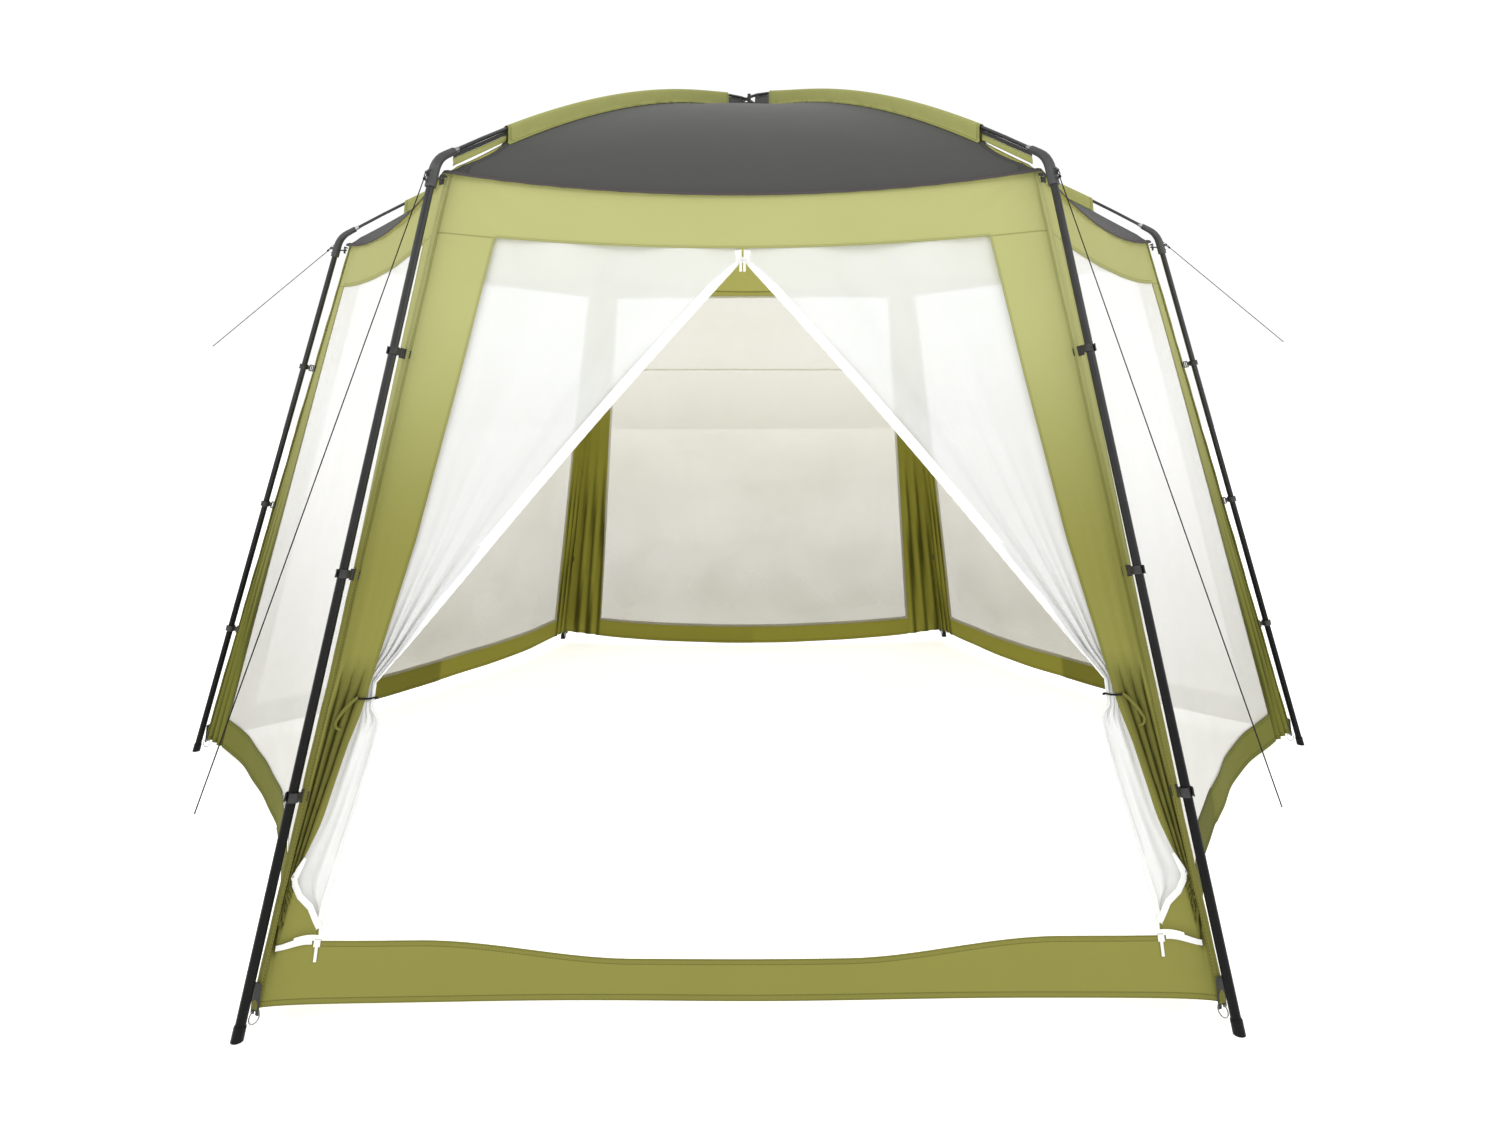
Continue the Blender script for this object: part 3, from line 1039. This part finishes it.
        # zip tape on the sill between the slider and the corner
        xs = np.linspace(0.796, 0.862, 24)
        vs, uv = [], []
        for h in (-0.0040, 0.000, 0.0045, 0.0090):
            z = w.skirt_z(xs) + h * (1 - 0.35 * (xs - 0.796) / 0.066)
            vs.append(w.at(sign * xs, z, 0.0032 + w.fold(sign * xs, z)))
            uv.append(np.stack([xs, z], 1))
        shell("sill_zip_tape_" + side, np.concatenate(vs), grid_faces(4, 24, flip=(sign < 0)), 0.0009, M["tape"],
              np.concatenate(uv), slot="zip_plastic")


# ------------------------------------------------------- corner tapes and clips
def make_corners():
    ang = math.atan(SEAM_SLOPE)
    tdir = Vector((-math.sin(ang), 0, math.cos(ang)))
    across = Vector((0, 1, 0))
    out = across.cross(tdir).normalized()
    lout = across.cross(LEG_DIR).normalized()
    off = 0.0048
    for c, (name, az) in enumerate(CORNERS.items()):
        T = turned(az)
        # seam allowance folded to a narrow olive binding, with a piped edge
        zs = np.linspace(0.037, 1.652, 120)
        ys = np.array([-0.0085, -0.0070, -0.0035, 0.0, 0.0035, 0.0070, 0.0085])
        lift = np.array([-0.0026, -0.0004, 0.0006, 0.0010, 0.0006, -0.0004, -0.0026])
        vs, uv, de = [], [], []
        for i, z in enumerate(zs):
            p = Vector((seam_r(z) + off, 0, z))
            wob = 0.0006 * math.sin(z * 23 + c) + 0.0004 * math.sin(z * 61 + 2 * c)
            for y, l in zip(ys, lift):
                vs.append(T @ (p + out * (l + wob) + across * (y + 0.0005 * math.sin(z * 17 + c))))
                uv.append((y, z))
                de.append(0.0140 + 0.0085 - abs(y) if abs(y) > 0.006 else 0.022)
        shell("seam_binding_" + name, vs, grid_faces(len(zs), len(ys)), 0.0011,
              M["green"] if az >= 180 or az == 0 else M["green_in"], np.array(uv), {"de": np.array(de)}, slot="wall_cloth",
              replaces=("clip_tape_" + name,))
        parts = []
        webs = []
        for z in (0.373, 0.768, 1.226):
            ctr = Vector((leg_r(z), 0, z))
            lf = Matrix.Translation(ctr) @ Matrix((lout, across, LEG_DIR)).transposed().to_4x4()
            gap = (leg_r(z) - seam_r(z) - off) / math.cos(LEG_TILT)
            # snap collar, open on the far side, with rolled lips
            n, open_deg = 25, 26
            cv, cf = [], []
            prof = ((0.01055, -0.0072), (0.0113, -0.0083), (0.0129, -0.0083), (0.0138, -0.0070), (0.0134, 0.0),
                    (0.0138, 0.0070), (0.0129, 0.0083), (0.0113, 0.0083), (0.01055, 0.0072))
            for k in range(n):
                a = math.radians(open_deg + (360 - 2 * open_deg) * k / (n - 1))
                lip = 0.0010 * (1 if k in (0, n - 1) else 0.4 if k in (1, n - 2) else 0)
                for rr, zz in prof:
                    cv.append(lf @ Vector(((rr + lip) * math.cos(a), (rr + lip) * math.sin(a), zz)))
            m = len(prof)
            for k in range(n - 1):
                for i in range(m):
                    j = (i + 1) % m
                    cf.append((m * k + i, m * k + j, m * k + m + j, m * k + m + i))
            cf += [tuple(range(m)), tuple(m * (n - 1) + i for i in range(m))]
            parts.append((cv, cf))
            # arm of the collar with the bar it carries
            parts.append(rounded_box(lf, (-0.0215, -0.0021, -0.0068), (-0.0122, 0.0021, 0.0068), 0.0010))
            # three-bar buckle: outer frame with the slot open between its bars
            x0, x1 = -gap * 0.47 - 0.0095, -gap * 0.47 + 0.0070
            x1 = min(x1, -0.0195)
            x0 = x1 - 0.0155
            for (a, b, cz, dz) in ((x0, x0 + 0.0032, -0.0108, 0.0108), (x1 - 0.0032, x1, -0.0108, 0.0108),
                                   ((x0 + x1) / 2 - 0.0014, (x0 + x1) / 2 + 0.0014, -0.0100, 0.0100),
                                   (x0, x1, 0.0084, 0.0112), (x0, x1, -0.0112, -0.0084)):
                parts.append(rounded_box(lf, (a, -0.0022, cz), (b, 0.0022, dz), 0.0009))
            # webbing from the buckle, sewn along the seam
            webs.append(rounded_box(lf, (-gap - 0.0030, -0.0010, -0.0082), (x0 + 0.0030, 0.0010, 0.0082), 0.0006))
            webs.append(rounded_box(lf, (-gap - 0.0042, -0.0092, -0.0086), (-gap - 0.0014, 0.0092, 0.0086), 0.0007))
        v, f = join(parts)
        build("leg_clips_" + name, v and [T @ p for p in v], f, M["clip"], slot="webbing", recalc=True,
              replaces=("clip_tape_" + name,))
        # webbing from the roof corner over the elbow's pin
        pts = [(1.4440, 1.6420), (1.4470, 1.6465), (1.4505, 1.6480), (1.4520, 1.6440), (1.4522, 1.6330), (1.4520, 1.6235)]
        vs = []
        for r, z in pts:
            for y in (-0.0080, -0.003, 0.003, 0.0080):
                vs.append(T @ Vector((r, y, z)))
        fs = [q for i, q in enumerate(grid_faces(len(pts), 4)) if i not in (3 * 3 + 1,)]
        n = vertex_normals(np.array(vs), fs)
        sh_v = [Vector(a) + Vector(b) * 0.0008 for a, b in zip(vs, n)] + [Vector(a) - Vector(b) * 0.0008 for a, b in zip(vs, n)]
        directed = {(a, b) for q in fs for a, b in zip(q, q[1:] + q[:1])}
        k = len(vs)
        sh_f = list(fs) + [tuple(k + i for i in reversed(q)) for q in fs] + sorted((b, a, k + a, k + b) for a, b in directed if (b, a) not in directed)
        webs.append(([T.inverted() @ p for p in sh_v], sh_f))
        # tab that carries the peg ring
        rr = seam_r(0.052) + off
        pts = []
        for z in np.linspace(0.0275, 0.078, 9):
            for y in (-0.0105, -0.0030, 0.0030, 0.0105):
                pts.append(Vector((rr - 0.0001 + 0.0002 * math.sin(90 * z), y, z)))
        fs = [q for i, q in enumerate(grid_faces(9, 4)) if i not in (1,)]
        n = vertex_normals(np.array(pts), fs)
        k = len(pts)
        sh_v = [a + Vector(b) * 0.0011 for a, b in zip(pts, n)] + [a - Vector(b) * 0.0011 for a, b in zip(pts, n)]
        directed = {(a, b) for q in fs for a, b in zip(q, q[1:] + q[:1])}
        sh_f = list(fs) + [tuple(k + i for i in reversed(q)) for q in fs] + sorted((b, a, k + a, k + b) for a, b in directed if (b, a) not in directed)
        webs.append((sh_v, sh_f))
        v, f = join(webs)
        build("corner_webbing_" + name, [T @ p for p in v], f, M["web"], slot="webbing", recalc=True)

        # ferrule where the rod enters the elbow
        prof = [(0.0058, 0.0), (0.0072, 0.0002), (0.0075, 0.0016), (0.0071, 0.0070), (0.0072, 0.0125), (0.0066, 0.0140), (0.0058, 0.0138)]
        base = Vector((VR, 0, VZ)) + ROD_DIR * 0.0615
        axis = ROD_DIR
        s1 = across
        s2 = axis.cross(s1).normalized()
        cv, cf = [], []
        n = 20
        for r, h in prof:
            for i in range(n):
                a = 2 * math.pi * i / n
                cv.append(T @ (base + axis * h + s1 * (r * math.cos(a)) + s2 * (r * math.sin(a))))
        m = len(prof)
        for i in range(m):
            for j in range(n):
                k = (j + 1) % n
                cf.append((i * n + j, i * n + k, ((i + 1) % m) * n + k, ((i + 1) % m) * n + j))
        build("rod_ferrule_" + name, cv, cf, M["steel"], slot="ring_steel", recalc=True)

        # webbing band stretched under the bare end of the rod, front corners only
        if name in ("front_left", "front_right"):
            R = np.linspace(1.2445, 1.420, 24)
            vs, uv = [], []
            for h in (0.0064, 0.0100, 0.0140, 0.0172):
                zz = rod_z(R) - h - 0.0016 * np.sin((R - 1.2445) / 0.1755 * np.pi) * (h / 0.0172)
                for r, z in zip(R, zz):
                    vs.append(T @ Vector((r, 0.0006 * math.sin(40 * r), z)))
                    uv.append((r, z))
            shell("rod_band_" + name, vs, grid_faces(4, 24), 0.0012, M["web"], np.array(uv), slot="webbing")
            # green facing between the band and the roof's corner
            vs, uv, de = [], [], []
            for t in (0.0, 0.2, 0.4, 0.6, 0.8, 1.0):
                for r in R:
                    u = (r - 1.2445) / 0.1755
                    top = float(rod_z(r)) - 0.0177 - 0.0016 * math.sin(u * math.pi)
                    low = min(float(roof_corner_z(r)) + 0.0030, top - 0.002)
                    vs.append(T @ Vector((r, 0.0010 * math.sin(30 * r + 5 * t), top * (1 - t) + low * t)))
                    uv.append((r, t * 0.02))
                    de.append(0.012 if t in (0.0, 1.0) else 0.02)
            shell("corner_facing_" + name, vs, grid_faces(6, 24), 0.0010, M["sleeve"], np.array(uv), {"de": np.array(de)},
                  slot="wall_cloth")

    # grey cloth fins under the rods at the crossing
    for name, az in CORNERS.items():
        k = (0, 1, 2, 0, 1, 2)[az // 60]
        T = turned(az)
        R = np.linspace(0.045, 0.172, 16)
        top = rod_z(R, k) - 0.0062
        bot = roof_z_near_rod(R, 0.0) + 0.0006
        vs, uv, de = [], [], []
        for t in (0.0, 0.25, 0.5, 0.75, 1.0):
            for i, r in enumerate(R):
                z = bot[i] * (1 - t) + top[i] * t
                vs.append(T @ Vector((r, 0.0007 * math.sin(60 * r + 3 * t), z)))
                uv.append((r, z))
                de.append(0.012 if t in (0.0, 1.0) or i in (0, 15) else 0.02)
        shell("apex_fin_" + name, vs, grid_faces(5, 16), 0.0010, M["roof"], np.array(uv), {"de": np.array(de)},
              slot="roof_cloth")


make_roof()
make_sleeves()
for w in walls.values():
    make_wall(w)
    if w.name != "front":
        make_net(w)
make_door(walls["front"])
make_corners()

# ------------------------------------------------------------ floor and light
def stage_floor():
    n = 24
    size = 30.0
    vs = [(-size + 2 * size * i / n, -size + 2 * size * j / n, -0.0008) for j in range(n + 1) for i in range(n + 1)]
    me = bpy.data.meshes.new("studio_floor")
    me.from_pydata(vs, [], grid_faces(n + 1, n + 1))
    ob = bpy.data.objects.new("studio_floor", me)
    scene.collection.objects.link(ob)
    N = Nodes("floor_pale")
    co = N.add("NewGeometry").outputs["Position"]
    tone = N.mix(N.remap(N.noise(co, 1.7, 4.0, 0.6), 0.3, 0.7, 0.0, 1.0), (0.90, 0.90, 0.90), (0.94, 0.94, 0.94))
    me.materials.append(N.done(Base__Color=tone, Roughness=0.9, Specular__IOR__Level=0.0,
                               Emission__Color=(1.0, 1.0, 1.0, 1.0), Emission__Strength=0.68))


stage_floor()

world = bpy.data.worlds.new("studio")
scene.world = world
world.use_nodes = True
nt = world.node_tree
bg = nt.nodes["Background"]
lp = nt.nodes.new("ShaderNodeLightPath")
mx = nt.nodes.new("ShaderNodeMath")
mx.operation = "MULTIPLY_ADD"
nt.links.new(lp.outputs["Is Camera Ray"], mx.inputs[0])
mx.inputs[1].default_value = 0.22
mx.inputs[2].default_value = 0.80
nt.links.new(mx.outputs[0], bg.inputs["Strength"])
bg.inputs["Color"].default_value = (1.0, 1.0, 1.0, 1.0)


def area(name, loc, target, size, energy):
    d = bpy.data.lights.new(name, "AREA")
    d.shape, d.size, d.energy = "SQUARE", size, energy
    ob = bpy.data.objects.new(name, d)
    ob.location = loc
    ob.rotation_euler = (Vector(target) - Vector(loc)).to_track_quat("-Z", "Y").to_euler()
    scene.collection.objects.link(ob)


area("key", (-3.6, -6.2, 5.4), (0, 0, 1.0), 4.5, 120)
area("fill", (5.5, -4.5, 3.6), (0, 0, 1.0), 4.5, 60)
area("rim", (1.5, 6.5, 5.0), (0, 0, 1.2), 4.0, 80)

# --------------------------------------------------------------------- camera
CAM = (0.046, -3.7194, 1.1323)
YAW, PITCH, ROLL = math.radians(-0.253), math.radians(12.348), math.radians(-0.249)
FOCAL, PPX, PPY = 1040.3, 766.3, 164.2
cam_data = bpy.data.cameras.new("camera")
cam = bpy.data.objects.new("camera", cam_data)
scene.collection.objects.link(cam)
scene.camera = cam
fwd = Vector((-math.sin(YAW) * math.cos(PITCH), math.cos(YAW) * math.cos(PITCH), math.sin(PITCH)))
right = Vector((math.cos(YAW), math.sin(YAW), 0))
upv = right.cross(fwd)
right2 = right * math.cos(ROLL) + upv * math.sin(ROLL)
up2 = -right * math.sin(ROLL) + upv * math.cos(ROLL)
cam.matrix_world = Matrix.Translation(CAM) @ Matrix((right2, up2, -fwd)).transposed().to_4x4()
cam_data.sensor_width = 36.0
cam_data.lens = 36.0 * FOCAL / 1500
cam_data.clip_start, cam_data.clip_end = 0.05, 200
SHIFT = ((750 - PPX) / 1500, (PPY - 562.5) / 1500)
# the off-centre lens belongs to this one camera place; seen from anywhere else the picture stays centred
for prop, value in (("shift_x", SHIFT[0]), ("shift_y", SHIFT[1])):
    drv = cam_data.driver_add(prop).driver
    drv.type = "SCRIPTED"
    for axis in "XYZ":
        var = drv.variables.new()
        var.name = "l" + axis.lower()
        var.type = "TRANSFORMS"
        var.targets[0].id = cam
        var.targets[0].transform_type = "LOC_" + axis
        var.targets[0].transform_space = "WORLD_SPACE"
    drv.expression = "%.6f if abs(lx - %.4f) + abs(ly + %.4f) + abs(lz - %.4f) < 0.01 else 0.0" % (value, CAM[0], -CAM[1], CAM[2])

scene.view_settings.view_transform = "Standard"
scene.view_settings.look = "None"
scene.view_settings.exposure = 0.0
if hasattr(scene, "cycles"):
    scene.cycles.transparent_max_bounces = 40
